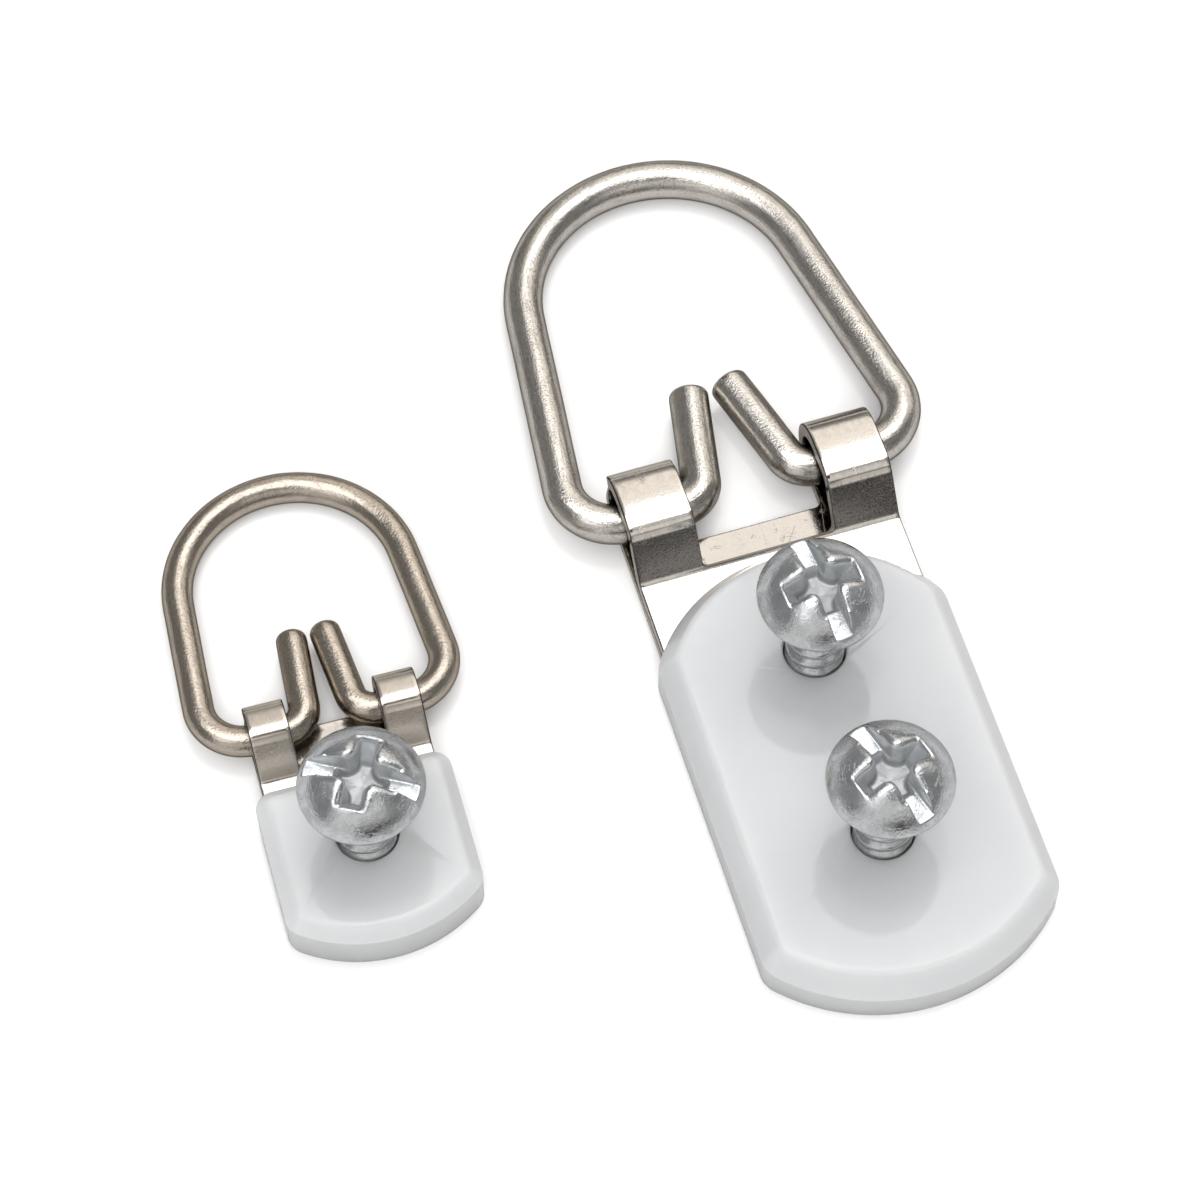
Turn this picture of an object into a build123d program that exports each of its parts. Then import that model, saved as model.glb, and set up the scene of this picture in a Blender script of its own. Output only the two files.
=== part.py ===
from build123d import *
import os
from math import asin, cos, degrees, radians, sin, sqrt, tan

# A set of two D ring picture hangers, large and small, lying on their backs. Millimetres.
# The origin is on the back of the large hanger, midway between its two screw holes.
# +Y runs along the large hanger towards its ring, and +Z comes up out of the front faces.
# Each hanger is drawn about its own middle (the large one about the origin, the small one
# about its screw hole) and the small one is then set down beside the large one.

# Shared sizes
cut_over = 1.0            # how far every cutting tool runs past what it cuts
leaf_gap = 0.1            # between the two leaves of a folded strap
pocket_gap = 0.15         # between a strap's edge and the pocket of its cover

# Screws: round head with a slot across a cross recess, the small hanger's a little shorter
large_screw_length = 11.0 # from under the head to the point
small_screw_length = 10.0
screw_thread = 3.8        # outside diameter of the thread
screw_root = 2.9          # diameter at the bottom of the thread
screw_pitch = 1.3
screw_crest = 0.28        # flat along the top of the thread
screw_ridge_sink = 0.12   # how deep the ridge of the thread is rooted in the core
screw_neck = 0.9          # plain stretch under the head
screw_point = 2.6         # length of the pointed end
screw_point_flat = 0.5    # diameter of the blunted tip
head_diameter = 7.8
head_height = 2.8
head_rim = 0.4            # upright rim below the dome
slot_width = 1.2
slot_depth = 1.9          # below the top of the dome
cross_span = 4.5          # across the wings of the cross recess
cross_wing = 1.05         # width of a wing
cross_depth = 2.6         # below the top of the dome
cross_taper = 5.0         # degrees, the wings narrow with depth
cross_root_span = 2.6     # across the wings at the bottom of the recess
cross_slope = 25.5        # degrees from upright, the sloping ends of the wings
hole_clearance = 0.25     # between a thread and the hole that it passes

# Large hanger: plate
large_screw_spacing = 13.0
large_sheet = 0.9
large_strap_width = 17.5
large_finger_width = 4.3
large_back_notch = 17.7   # bottom of the notch in the back leaf
large_front_notch = 15.3  # bottom of the notch in the front leaf
large_fold_centre = 20.2  # middle of the rounded fold
large_slope_top = 17.5    # where the front leaf starts down
large_slope_foot = 15.2   # where it lands on the back leaf
large_slope_bend = 1.0    # radius of those two bends
large_tail = -15.2        # lowest point of the strap inside the cover
large_notch_corner = 0.5
large_finger_corner = 0.5

# Large hanger: cover
large_cover_width = 19.1
large_cover_top = 14.35
large_cover_bottom = -16.95
large_top_radius = 11.0
large_bottom_radius = 12.6
large_top_corner = 1.8
large_bottom_corner = 1.8
large_wall = 2.3          # upright part of the edge
large_bevel_inset = 1.1
large_cover_thickness = 4.15
large_edge_round = 0.25

# Large hanger: ring
large_wire = 2.6
large_ring_height = 25.25 # from the foot to the crown, wire centre to wire centre
large_crown_radius = 9.6
large_leg_lean = 8.5      # degrees, each leg leans inwards
large_corner_bend = 3.4
large_prong_bend = 1.8
large_prong_height = 8.0  # from the foot to the cut end
large_prong_spacing = 2.7 # between the prongs' centre lines at the cut ends
large_prong_lean = 13.0   # degrees, each prong leans inwards
large_prong_round = 0.35  # rounding of the cut ends
large_loop_play = 0.3     # between the wire and the fold around it
large_ring_foot = 19.65   # where the foot of the ring lies
large_ring_shift = 0.15   # how far the ring lies off the middle of its loops
large_ring_turn = 2.0     # degrees, the ring lies a little askew in its loops

# Small hanger: plate
small_place = (-30.1, 2.95)
small_turn = -1.7         # degrees, how the small hanger lies against the large one
small_sheet = 0.75
small_strap_width = 11.0
small_finger_width = 2.6
small_back_notch = 9.4
small_front_notch = 6.3
small_fold_centre = 8.9
small_slope_top = 8.0
small_slope_foot = 5.95
small_slope_bend = 0.8
small_tail = -5.9
small_notch_corner = 0.4
small_finger_corner = 0.4

# Small hanger: cover
small_cover_width = 12.4
small_cover_top = 4.55
small_cover_bottom = -7.05
small_bottom_radius = 9.5
small_top_corner = 1.2
small_bottom_corner = 1.4
small_wall = 2.9
small_bevel_inset = 0.8
small_cover_thickness = 3.75
small_edge_round = 0.2

# Small hanger: ring
small_wire = 2.0
small_ring_height = 17.6
small_crown_radius = 7.4
small_leg_lean = 4.0
small_corner_bend = 2.9
small_prong_bend = 1.6
small_prong_height = 6.8
small_prong_spacing = 2.1
small_prong_lean = 4.7
small_prong_round = 0.6
small_loop_play = 0.2
small_ring_foot = 8.8
small_ring_shift = -0.1
small_ring_turn = 0.8

# How far each screw has been turned: degrees from +X to its slot
upper_slot_angle = 95.0
lower_slot_angle = 107.0
small_slot_angle = -29.0


def wire_path(height, crown, lean, corner, prong_bend, prong_height, prong_spacing, prong_lean):
    """Centre line of a D ring in the XY plane, its foot on the X axis, from cut end to cut end."""
    lean = radians(lean)
    crown_centre = height - crown
    leg_root = (crown + crown_centre * sin(lean)) / cos(lean)
    leg_top = (crown * cos(lean), crown_centre + crown * sin(lean))
    prong_root = prong_spacing / 2 + prong_height * tan(radians(prong_lean))
    prong_tip = (prong_spacing / 2, prong_height)
    corners = [prong_tip, (prong_root, 0), (leg_root, 0), leg_top]
    mirrored = [(-x, y) for x, y in reversed(corners)]
    with BuildLine() as path:
        FilletPolyline(*corners, radius=[prong_bend, corner])
        ThreePointArc(leg_top, (0, height), mirrored[0])
        FilletPolyline(*mirrored, radius=[corner, prong_bend])
    return path.wire()


def ring(path, wire, end_round, height, foot_height):
    """Round wire along the path, lying with its foot raised in the loops and its crown down."""
    start = Plane(origin=path @ 0, z_dir=path % 0)
    solid = sweep(start * Circle(wire / 2), path=path)
    cut_ends = solid.faces().filter_by(GeomType.PLANE)
    solid = fillet(cut_ends.edges(), end_round)
    droop = degrees(asin((foot_height - wire / 2) / height))
    return Rot(-droop, 0, 0) * solid


def folded_sheet(sheet, inner_height, width, tail, fold_centre, slope_top, slope_foot, bend):
    """Sheet folded double: back leaf, rounded fold, then the front leaf down onto the back one."""
    back_middle = sheet / 2
    fold_radius = (inner_height + sheet) / 2
    top_middle = back_middle + 2 * fold_radius
    front_middle = back_middle + sheet + leaf_gap
    with BuildLine(Plane.YZ) as path:
        Line((tail, back_middle), (fold_centre, back_middle))
        ThreePointArc(
            (fold_centre, back_middle),
            (fold_centre + fold_radius, back_middle + fold_radius),
            (fold_centre, top_middle),
        )
        FilletPolyline(
            (fold_centre, top_middle),
            (slope_top, top_middle),
            (slope_foot, front_middle),
            (tail, front_middle),
            radius=bend,
        )
    start = Plane(origin=path.wire() @ 0, x_dir=(1, 0, 0), z_dir=path.wire() % 0)
    return sweep(start * Rectangle(width, sheet), path=path.wire())


def notch(width, bottom, top, low, high, corner):
    """Tool that cuts the gap between a strap's two fingers, with rounded inner corners."""
    length = top - bottom
    tool = Pos(0, bottom, low) * Box(width, length, high - low, align=(Align.CENTER, Align.MIN, Align.MIN))
    inner = tool.edges().filter_by(Axis.Z).group_by(Axis.Y)[0]
    return fillet(inner, corner)


def strap(sheet, wire, play, width, finger, back_notch, front_notch, fold_centre, slope_top,
          slope_foot, bend, tail, tail_radius, notch_corner, finger_corner, holes):
    """Steel strap folded double, with two loops for the ring, a notch between them and holes."""
    inner_height = wire + 2 * play
    solid = folded_sheet(sheet, inner_height, width, tail, fold_centre, slope_top, slope_foot, bend)
    top = fold_centre + inner_height / 2 + sheet
    height = inner_height + 2 * sheet
    gap = width - 2 * finger
    solid -= notch(gap, back_notch, top + cut_over, -cut_over, height + cut_over, notch_corner)
    solid -= notch(gap, front_notch, top + cut_over, sheet + leaf_gap / 2, height + cut_over, notch_corner)
    for hole in holes:
        solid -= Pos(0, hole, 0) * Cylinder(screw_thread / 2 + hole_clearance, 2 * (height + cut_over))
    outline = strap_outline(width, tail, tail_radius, top, finger, finger_corner)
    return solid & Pos(0, 0, -cut_over) * extrude(outline, height + 2 * cut_over)


def arched_tail(width, tail, radius, top):
    """Face with straight sides, a square top and an arched bottom whose lowest point is the tail."""
    rise = radius - sqrt(radius**2 - (width / 2) ** 2)
    shoulder = tail + rise
    with BuildSketch() as outline:
        with BuildLine():
            Line((width / 2, shoulder), (width / 2, top))
            Line((width / 2, top), (-width / 2, top))
            Line((-width / 2, top), (-width / 2, shoulder))
            ThreePointArc((-width / 2, shoulder), (0, tail), (width / 2, shoulder))
        make_face()
    return outline.sketch


def strap_outline(width, tail, tail_radius, top, finger, finger_corner):
    """Front view of a strap: arched tail, and fingers with slightly rounded outer corners."""
    outline = arched_tail(width, tail, tail_radius, top)
    return fillet(outline.vertices().sort_by(Axis.Y)[-2:], finger_corner)


def arched_outline(width, top, top_radius, bottom, bottom_radius):
    """Front view of the large cover: straight sides between an arched top and an arched bottom."""
    half = width / 2
    top_shoulder = top - top_radius + sqrt(top_radius**2 - half**2)
    bottom_shoulder = bottom + bottom_radius - sqrt(bottom_radius**2 - half**2)
    with BuildSketch() as outline:
        with BuildLine():
            ThreePointArc((half, top_shoulder), (0, top), (-half, top_shoulder))
            Line((-half, top_shoulder), (-half, bottom_shoulder))
            ThreePointArc((-half, bottom_shoulder), (0, bottom), (half, bottom_shoulder))
            Line((half, bottom_shoulder), (half, top_shoulder))
        make_face()
    return outline.sketch


def round_corners(outline, bottom_corner, top_corner):
    """The same outline with its two lower and its two upper corners rounded."""
    outline = fillet(outline.vertices().sort_by(Axis.Y)[:2], bottom_corner)
    return fillet(outline.vertices().sort_by(Axis.Y)[-2:], top_corner)


def cover(outline, wall, inset, thickness, edge_round, pocket, pocket_depth, holes):
    """Moulded cover: upright wall, bevelled front edge, screw holes and a pocket for the strap."""
    solid = extrude(outline, thickness)
    front = solid.faces().sort_by(Axis.Z)[-1]
    solid = chamfer(front.edges(), inset, thickness - wall, reference=front)
    solid = fillet(solid.faces().sort_by(Axis.Z)[-1].edges(), edge_round)
    solid -= Pos(0, 0, -cut_over) * extrude(pocket, pocket_depth + cut_over)
    for hole in holes:
        solid -= Pos(0, hole, 0) * Cylinder(screw_thread / 2 + hole_clearance, 2 * (thickness + cut_over))
    return solid


def head():
    """Round screw head, its underside at z = 0, with the slot along X and the cross recess."""
    radius = head_diameter / 2
    dome_rise = head_height - head_rim
    dome_radius = (radius**2 + dome_rise**2) / (2 * dome_rise)
    dome_centre = head_height - dome_radius
    part_way = radius / sqrt(2)
    part_height = dome_centre + sqrt(dome_radius**2 - part_way**2)
    with BuildSketch(Plane.XZ) as profile:
        with BuildLine():
            Line((0, 0), (radius, 0))
            Line((radius, 0), (radius, head_rim))
            ThreePointArc((radius, head_rim), (part_way, part_height), (0, head_height))
            Line((0, head_height), (0, 0))
        make_face()
    solid = revolve(profile.sketch, Axis.Z)
    slot_floor = head_height - slot_depth
    solid -= Pos(0, 0, slot_floor) * Box(
        head_diameter + cut_over, slot_width, slot_depth + cut_over,
        align=(Align.CENTER, Align.CENTER, Align.MIN),
    )
    wings = Rectangle(cross_span, cross_wing) + Rectangle(cross_wing, cross_span)
    recess = extrude(Pos(0, 0, head_height) * wings, -cross_depth, taper=cross_taper)
    root = cross_root_span / 2
    ends = Pos(0, 0, head_height - cross_depth) * Cone(
        root, root + cross_depth * tan(radians(cross_slope)), cross_depth,
        align=(Align.CENTER, Align.CENTER, Align.MIN),
    )
    return solid - (recess & ends)


def shank(length):
    """Threaded shank hanging from z = 0, with a plain neck and a blunted point."""
    thread_bottom = -length + screw_point
    root = screw_root / 2
    crest = screw_thread / 2
    with BuildSketch(Plane.XZ) as profile:
        with BuildLine():
            Polyline(
                (0, 0),
                (root, 0),
                (root, thread_bottom),
                (screw_point_flat / 2, -length),
                (0, -length),
                (0, 0),
            )
        make_face()
    core = revolve(profile.sketch, Axis.Z)
    run = -screw_neck - thread_bottom
    helix = Pos(0, 0, thread_bottom) * Helix(screw_pitch, run, root)
    base = screw_pitch - screw_crest
    start = Plane(origin=helix @ 0, x_dir=(1, 0, 0), z_dir=helix % 0)
    ridge = start * Polygon(
        (-screw_ridge_sink, -base / 2),
        (crest - root, -screw_crest / 2),
        (crest - root, screw_crest / 2),
        (-screw_ridge_sink, base / 2),
        align=None,
    )
    thread = sweep(ridge, path=helix, is_frenet=True)
    return core + thread


def screw(length, slot_angle):
    """Whole screw standing with its point on the table."""
    solid = head() + shank(length)
    return Pos(0, 0, length) * Rot(0, 0, slot_angle) * solid


def large_parts():
    holes = (large_screw_spacing / 2, -large_screw_spacing / 2)
    pocket_depth = 2 * large_sheet + leaf_gap
    pocket_width = large_strap_width + 2 * pocket_gap
    pocket = arched_tail(
        pocket_width, large_tail - pocket_gap, large_bottom_radius, large_cover_top + cut_over
    )
    outline = arched_outline(
        large_cover_width, large_cover_top, large_top_radius, large_cover_bottom, large_bottom_radius
    )
    outline = round_corners(outline, large_bottom_corner, large_top_corner)
    path = wire_path(
        large_ring_height, large_crown_radius, large_leg_lean, large_corner_bend,
        large_prong_bend, large_prong_height, large_prong_spacing, large_prong_lean,
    )
    foot_height = large_sheet + large_loop_play + large_wire / 2
    lying_ring = ring(path, large_wire, large_prong_round, large_ring_height, foot_height)
    ring_spot = Pos(large_ring_shift, large_ring_foot, foot_height) * Rot(0, 0, large_ring_turn)
    return {
        "large_strap": strap(
            large_sheet, large_wire, large_loop_play, large_strap_width, large_finger_width,
            large_back_notch, large_front_notch, large_fold_centre, large_slope_top, large_slope_foot,
            large_slope_bend, large_tail, large_bottom_radius, large_notch_corner, large_finger_corner,
            holes,
        ),
        "large_cover": cover(
            outline, large_wall, large_bevel_inset, large_cover_thickness, large_edge_round,
            pocket, pocket_depth, holes,
        ),
        "large_ring": ring_spot * lying_ring,
        "large_upper_screw": Pos(0, holes[0], 0) * screw(large_screw_length, upper_slot_angle),
        "large_lower_screw": Pos(0, holes[1], 0) * screw(large_screw_length, lower_slot_angle),
    }


def small_parts():
    holes = (0,)
    pocket_depth = 2 * small_sheet + leaf_gap
    pocket_width = small_strap_width + 2 * pocket_gap
    pocket = arched_tail(
        pocket_width, small_tail - pocket_gap, small_bottom_radius, small_cover_top + cut_over
    )
    outline = arched_tail(small_cover_width, small_cover_bottom, small_bottom_radius, small_cover_top)
    outline = round_corners(outline, small_bottom_corner, small_top_corner)
    path = wire_path(
        small_ring_height, small_crown_radius, small_leg_lean, small_corner_bend,
        small_prong_bend, small_prong_height, small_prong_spacing, small_prong_lean,
    )
    foot_height = small_sheet + small_loop_play + small_wire / 2
    lying_ring = ring(path, small_wire, small_prong_round, small_ring_height, foot_height)
    ring_spot = Pos(small_ring_shift, small_ring_foot, foot_height) * Rot(0, 0, small_ring_turn)
    return {
        "small_strap": strap(
            small_sheet, small_wire, small_loop_play, small_strap_width, small_finger_width,
            small_back_notch, small_front_notch, small_fold_centre, small_slope_top, small_slope_foot,
            small_slope_bend, small_tail, small_bottom_radius, small_notch_corner, small_finger_corner,
            holes,
        ),
        "small_cover": cover(
            outline, small_wall, small_bevel_inset, small_cover_thickness, small_edge_round,
            pocket, pocket_depth, holes,
        ),
        "small_ring": ring_spot * lying_ring,
        "small_screw": screw(small_screw_length, small_slot_angle),
    }


os.makedirs("parts", exist_ok=True)
for name, solid in large_parts().items():
    export_step(solid, "parts/" + name + ".step")
small_spot = Pos(*small_place, 0) * Rot(0, 0, small_turn)
for name, solid in small_parts().items():
    export_step(small_spot * solid, "parts/" + name + ".step")
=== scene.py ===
import cmath
from math import asin, atan, ceil, copysign, cos, hypot, pi, radians, sin, sqrt, tan, tau
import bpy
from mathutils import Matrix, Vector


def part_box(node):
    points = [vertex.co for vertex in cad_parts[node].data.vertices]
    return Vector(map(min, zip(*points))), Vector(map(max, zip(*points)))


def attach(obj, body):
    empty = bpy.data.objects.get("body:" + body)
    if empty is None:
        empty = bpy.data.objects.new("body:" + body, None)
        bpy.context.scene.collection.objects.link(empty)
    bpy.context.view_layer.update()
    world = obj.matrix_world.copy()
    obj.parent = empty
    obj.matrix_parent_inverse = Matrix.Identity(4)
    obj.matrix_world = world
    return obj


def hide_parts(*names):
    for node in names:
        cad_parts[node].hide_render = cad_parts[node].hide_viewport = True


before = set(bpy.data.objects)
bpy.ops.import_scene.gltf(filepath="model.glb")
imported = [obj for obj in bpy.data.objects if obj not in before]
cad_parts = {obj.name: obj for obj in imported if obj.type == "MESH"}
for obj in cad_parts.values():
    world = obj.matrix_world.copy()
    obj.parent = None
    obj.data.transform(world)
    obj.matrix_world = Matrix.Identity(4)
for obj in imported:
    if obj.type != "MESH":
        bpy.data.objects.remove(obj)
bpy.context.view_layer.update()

from types import SimpleNamespace

import bmesh
import bpy
from mathutils import Matrix, Vector, noise

bl_info = {
    "name": "D ring picture hangers",
    "version": (1, 0, 0),
    "blender": (4, 5, 0),
    "location": "3D View > Sidebar > Hangers",
    "description": "A large and a small D ring picture hanger with plastic covers and round-head screws",
    "category": "Object",
}

# Everything is drawn in millimetres and set down in metres by set_down().
MILLIMETRE = 0.001
LEAF_GAP = 0.1         # between the two leaves of a folded strap
POCKET_GAP = 0.15      # between a strap's edge and the pocket of its cover
FINGER_RIM = 0.3       # narrow rim along each finger, which keeps the light on its middle even
ROLLED_EDGE = 0.08     # width of the rounding along a strap's edges
HEAD_GRID = 0.06       # size of the faces of a screw's head

# Lengths of a hanger in millimetres: name, description, large hanger, small hanger
HANGER_LENGTHS = (
    ("screw_spacing", "Between the two screw holes, zero for one hole", 13.0, 0.0),
    ("sheet", "Thickness of the strap's steel", 0.9, 0.75),
    ("strap_width", "Across the strap", 17.5, 11.0),
    ("finger", "Width of each finger that loops round the ring", 4.3, 2.6),
    ("back_notch", "Bottom of the notch in the back leaf", 17.7, 9.4),
    ("front_notch", "Bottom of the notch in the front leaf", 15.3, 6.3),
    ("fold_centre", "Middle of the rounded fold", 20.2, 8.9),
    ("slope_top", "Where the front leaf starts down", 17.5, 8.0),
    ("slope_foot", "Where it lands on the back leaf", 15.2, 5.95),
    ("slope_bend", "Radius of the bend at the top of the slope", 1.1, 0.8),
    ("foot_bend", "Radius of the bend at its foot", 1.2, 1.0),
    ("loop_crown", "How far the tops of the loops swell", 0.13, 0.09),
    ("tail", "Lowest point of the strap inside the cover", -15.2, -5.9),
    ("notch_corner", "Rounding of the notch's inner corners", 0.5, 0.4),
    ("finger_corner", "Rounding of the fingers' outer corners", 0.5, 0.4),
    ("cover_width", "Across the cover", 19.1, 12.4),
    ("cover_top", "Highest point of the cover", 14.35, 4.55),
    ("cover_bottom", "Lowest point of the cover", -16.95, -7.05),
    ("top_radius", "Radius of the arched top, zero for a straight top", 11.0, 0.0),
    ("bottom_radius", "Radius of the arched bottom", 12.6, 9.5),
    ("top_corner", "Rounding of the two upper corners", 1.8, 1.2),
    ("bottom_corner", "Rounding of the two lower corners", 1.8, 1.4),
    ("wall", "Height of the cover's upright edge", 2.3, 2.9),
    ("bevel_inset", "How far the bevel reaches in", 1.1, 0.8),
    ("cover_thickness", "From the back to the face", 4.15, 3.75),
    ("edge_rounding", "Rounding between bevel and face", 0.36, 0.42),
    ("wire", "Diameter of the ring's wire", 2.6, 2.0),
    ("ring_height", "From foot to crown, wire centre to wire centre", 25.25, 17.6),
    ("crown_radius", "Radius of the ring's round end", 9.6, 7.4),
    ("corner_bend", "Radius of the bends at the ends of the foot", 3.4, 2.9),
    ("prong_bend", "Radius of the bends up into the prongs", 1.8, 1.6),
    ("prong_height", "From the foot to the cut ends", 8.0, 6.8),
    ("prong_spacing", "Between the prongs at their cut ends", 2.7, 2.1),
    ("prong_rounding", "Rounding of the cut ends", 0.35, 0.6),
    ("loop_play", "Between the wire and the fold round it", 0.3, 0.2),
    ("ring_foot", "Where the foot of the ring lies", 19.65, 8.8),
    ("ring_shift", "How far the ring lies off the middle", 0.15, -0.1),
)
# Angles of a hanger in degrees, in the same way
HANGER_ANGLES = (
    ("leg_lean", "How far each leg leans inwards", 8.5, 4.0),
    ("prong_lean", "How far each prong leans inwards", 13.0, 4.7),
    ("ring_turn", "How askew the ring lies in its loops", 2.0, 0.8),
    ("turn", "How the whole hanger is turned on the table", 0.0, -1.7),
)


# Lengths of the screws, which differ in length alone, and of the holes that they pass
SCREW_LENGTHS = (
    ("large_length", "From under the head to the point, large hanger", 11.0),
    ("small_length", "From under the head to the point, small hanger", 10.0),
    ("thread", "Outside diameter of the thread", 3.8),
    ("root", "Diameter at the bottom of the thread", 2.9),
    ("pitch", "From one turn of the thread to the next", 1.3),
    ("crest", "Flat along the top of the thread", 0.28),
    ("neck", "Plain stretch under the head", 0.9),
    ("point", "Length of the pointed end", 2.6),
    ("point_flat", "Diameter of the blunted tip", 0.5),
    ("head", "Diameter of the head", 7.8),
    ("head_height", "From the underside to the top of the dome", 2.8),
    ("rim", "Upright rim below the dome", 0.4),
    ("slot_width", "Across the slot", 1.2),
    ("slot_depth", "Below the top of the dome", 1.9),
    ("cross_span", "Across the wings of the cross recess", 4.5),
    ("cross_wing", "Width of a wing", 1.05),
    ("cross_root", "Across the wings at the bottom of the recess", 2.6),
    ("cross_depth", "Below the top of the dome", 2.6),
    ("hole", "Diameter of the straps' holes", 4.3),
    ("cover_hole", "Diameter of the covers' holes", 4.0),
)
# Angles of the screws in degrees
SCREW_ANGLES = (
    ("upper_slot", "Angle of the large hanger's upper slot", 95.0),
    ("lower_slot", "Angle of the large hanger's lower slot", 107.0),
    ("small_slot", "Angle of the small hanger's slot", -29.0),
)
# Colours of the metals, the plastic and the floor
FINISH_COLOURS = (
    ("strap", "Bright nickel of the straps", (0.78, 0.745, 0.70)),
    ("strap_dull", "Nickel of the straps where it is dull", (0.70, 0.655, 0.60)),
    ("strap_inside", "Strip's other side, left as it was rolled", (0.345, 0.315, 0.277)),
    ("strap_side", "Sheared sides of the strip, thinly plated", (0.50, 0.465, 0.42)),
    # strap_edge is a painted dark line along the rolled edges, and the dark coarse grain of bent steel
    ("strap_edge", "Sharp edges and the coarse grain of bent steel", (0.10, 0.087, 0.075)),
    # strap_slope is a painted dark reflection on the slopes of the straps
    ("strap_slope", "Steel drawn dull and dark on the slopes", (0.29, 0.275, 0.26)),
    ("wire", "Nickel of the large ring", (0.66, 0.628, 0.582)),
    ("wire_dull", "Nickel of the rings where it is dull", (0.33, 0.31, 0.285)),
    ("small_strap", "Warmer nickel of the small strap", (0.74, 0.68, 0.60)),
    ("small_wire", "Warmer nickel of the small ring", (0.52, 0.46, 0.39)),
    ("zinc", "Zinc of the screws", (0.68, 0.70, 0.715)),
    ("zinc_dull", "Zinc of the screws where it is dull", (0.50, 0.52, 0.535)),
    # zinc_deep is painted shade at the bottom of the cross recess
    ("zinc_deep", "Zinc at the bottom of the recesses", (0.44, 0.45, 0.46)),
    ("cover", "Milky plastic of the covers", (0.55, 0.558, 0.568)),
    ("cover_deep", "Milky plastic where it is cloudier", (0.525, 0.535, 0.547)),
    # cover_wall is painted shade: the covers' upright walls are painted darker, as less light falls on them
    ("cover_wall", "Milky plastic of the upright walls", (0.455, 0.46, 0.468)),
    ("dirt", "Specks and pits", (0.06, 0.05, 0.045)),
    ("floor", "Paper under the hangers", (0.93, 0.93, 0.93)),
)


def length(label, description, millimetres):
    return bpy.props.FloatProperty(
        name=label, description=description, default=millimetres * MILLIMETRE,
        unit="LENGTH", subtype="DISTANCE")


def angle(label, description, degrees):
    return bpy.props.FloatProperty(
        name=label, description=description, default=radians(degrees),
        unit="ROTATION", subtype="ANGLE")


def colour(label, description, value):
    return bpy.props.FloatVectorProperty(
        name=label, description=description, default=value, size=3, min=0.0, max=1.0, subtype="COLOR")


def property_group(class_name, text, column, *tables):
    """A property group with a field for each row of its tables. Each table comes after its kind."""
    fields = {}
    for kind, rows in zip(tables[::2], tables[1::2]):
        for row in rows:
            fields[row[0]] = kind(row[0].replace("_", " ").capitalize(), row[1], row[column])
    return type(class_name, (bpy.types.PropertyGroup,), {"__doc__": text, "__annotations__": fields})


LargeHangerSizes = property_group(
    "LargeHangerSizes", "Sizes of the large hanger", 2, length, HANGER_LENGTHS, angle, HANGER_ANGLES)
SmallHangerSizes = property_group(
    "SmallHangerSizes", "Sizes of the small hanger", 3, length, HANGER_LENGTHS, angle, HANGER_ANGLES)
ScrewSizes = property_group(
    "ScrewSizes", "Sizes of the screws and of their holes", 2, length, SCREW_LENGTHS, angle, SCREW_ANGLES)
FinishColours = property_group(
    "FinishColours", "Colours of the metals, the plastic and the floor", 2, colour, FINISH_COLOURS)


def millimetres(group):
    """The sizes of a property group as plain numbers: lengths in millimetres, angles in radians."""
    values = {}
    for field in group.bl_rna.properties:
        if field.type == "FLOAT" and not field.is_array:
            factor = 1 / MILLIMETRE if field.unit == "LENGTH" else 1
            values[field.identifier] = getattr(group, field.identifier) * factor
    return SimpleNamespace(**values)


# Lines in a plane are lists of (point, direction), both complex numbers.

def straight(start, end, step):
    """Even points from start to end, the end included."""
    count = max(1, ceil(abs(end - start) / step))
    direction = (end - start) / abs(end - start)
    return [(start + (end - start) * i / count, direction) for i in range(count + 1)]


def arc(centre, radius, start, end, step=radians(4)):
    """Points along an arc between two angles."""
    count = max(1, ceil(abs(end - start) / step - 1e-6))
    side = 1 if end > start else -1
    angles = [start + (end - start) * i / count for i in range(count + 1)]
    return [(centre + radius * cmath.rect(1, a), side * 1j * cmath.rect(1, a)) for a in angles]


def joined(*runs):
    """The runs one after the other, without doubled points."""
    line = []
    for run in runs:
        for point, direction in run:
            if not line or abs(point - line[-1][0]) > 1e-5:
                line.append((point, direction))
    return line


def rounded_line(corners, radii, step, arc_step):
    """A line through the corners, with its inner corners rounded."""
    runs = []
    here = corners[0]
    for i, radius in enumerate(radii):
        before = corners[i + 1] - corners[i]
        after = corners[i + 2] - corners[i + 1]
        before, after = before / abs(before), after / abs(after)
        turn = cmath.phase(after / before)
        side = 1 if turn > 0 else -1
        start = corners[i + 1] - before * radius * tan(abs(turn) / 2)
        centre = start + before * 1j * side * radius
        first = cmath.phase(start - centre)
        runs.append(straight(here, start, step))
        runs.append(arc(centre, radius, first, first + turn, arc_step))
        here = runs[-1][-1][0]
    runs.append(straight(here, corners[-1], step))
    return joined(*runs)


def circle(radius, sides, middle=0.0, height=0.0):
    """Points of a level circle with its middle on the Y axis."""
    return [(radius * cos(tau * i / sides), middle + radius * sin(tau * i / sides), height)
            for i in range(sides)]


def arched_end(half, radius, lowest):
    """Points from left to right along an arched end, which is twice half wide."""
    across = [half * (i / 12 - 1) for i in range(25)]
    return [(x, lowest + radius - sqrt(radius**2 - x * x)) for x in across]


def add_loop(bm, points):
    return [bm.verts.new(p) for p in points]


def bridge(bm, loops):
    """Quads from each loop to the next, all with the same number of points."""
    for low, high in zip(loops, loops[1:]):
        for i in range(len(low)):
            j = (i + 1) % len(low)
            bm.faces.new((low[i], low[j], high[j], high[i]))


def fan(bm, loop, tip):
    """Triangles from a loop to a point."""
    tip = bm.verts.new(tip)
    for i, vert in enumerate(loop):
        bm.faces.new((vert, loop[(i + 1) % len(loop)], tip))
    return tip


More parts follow.
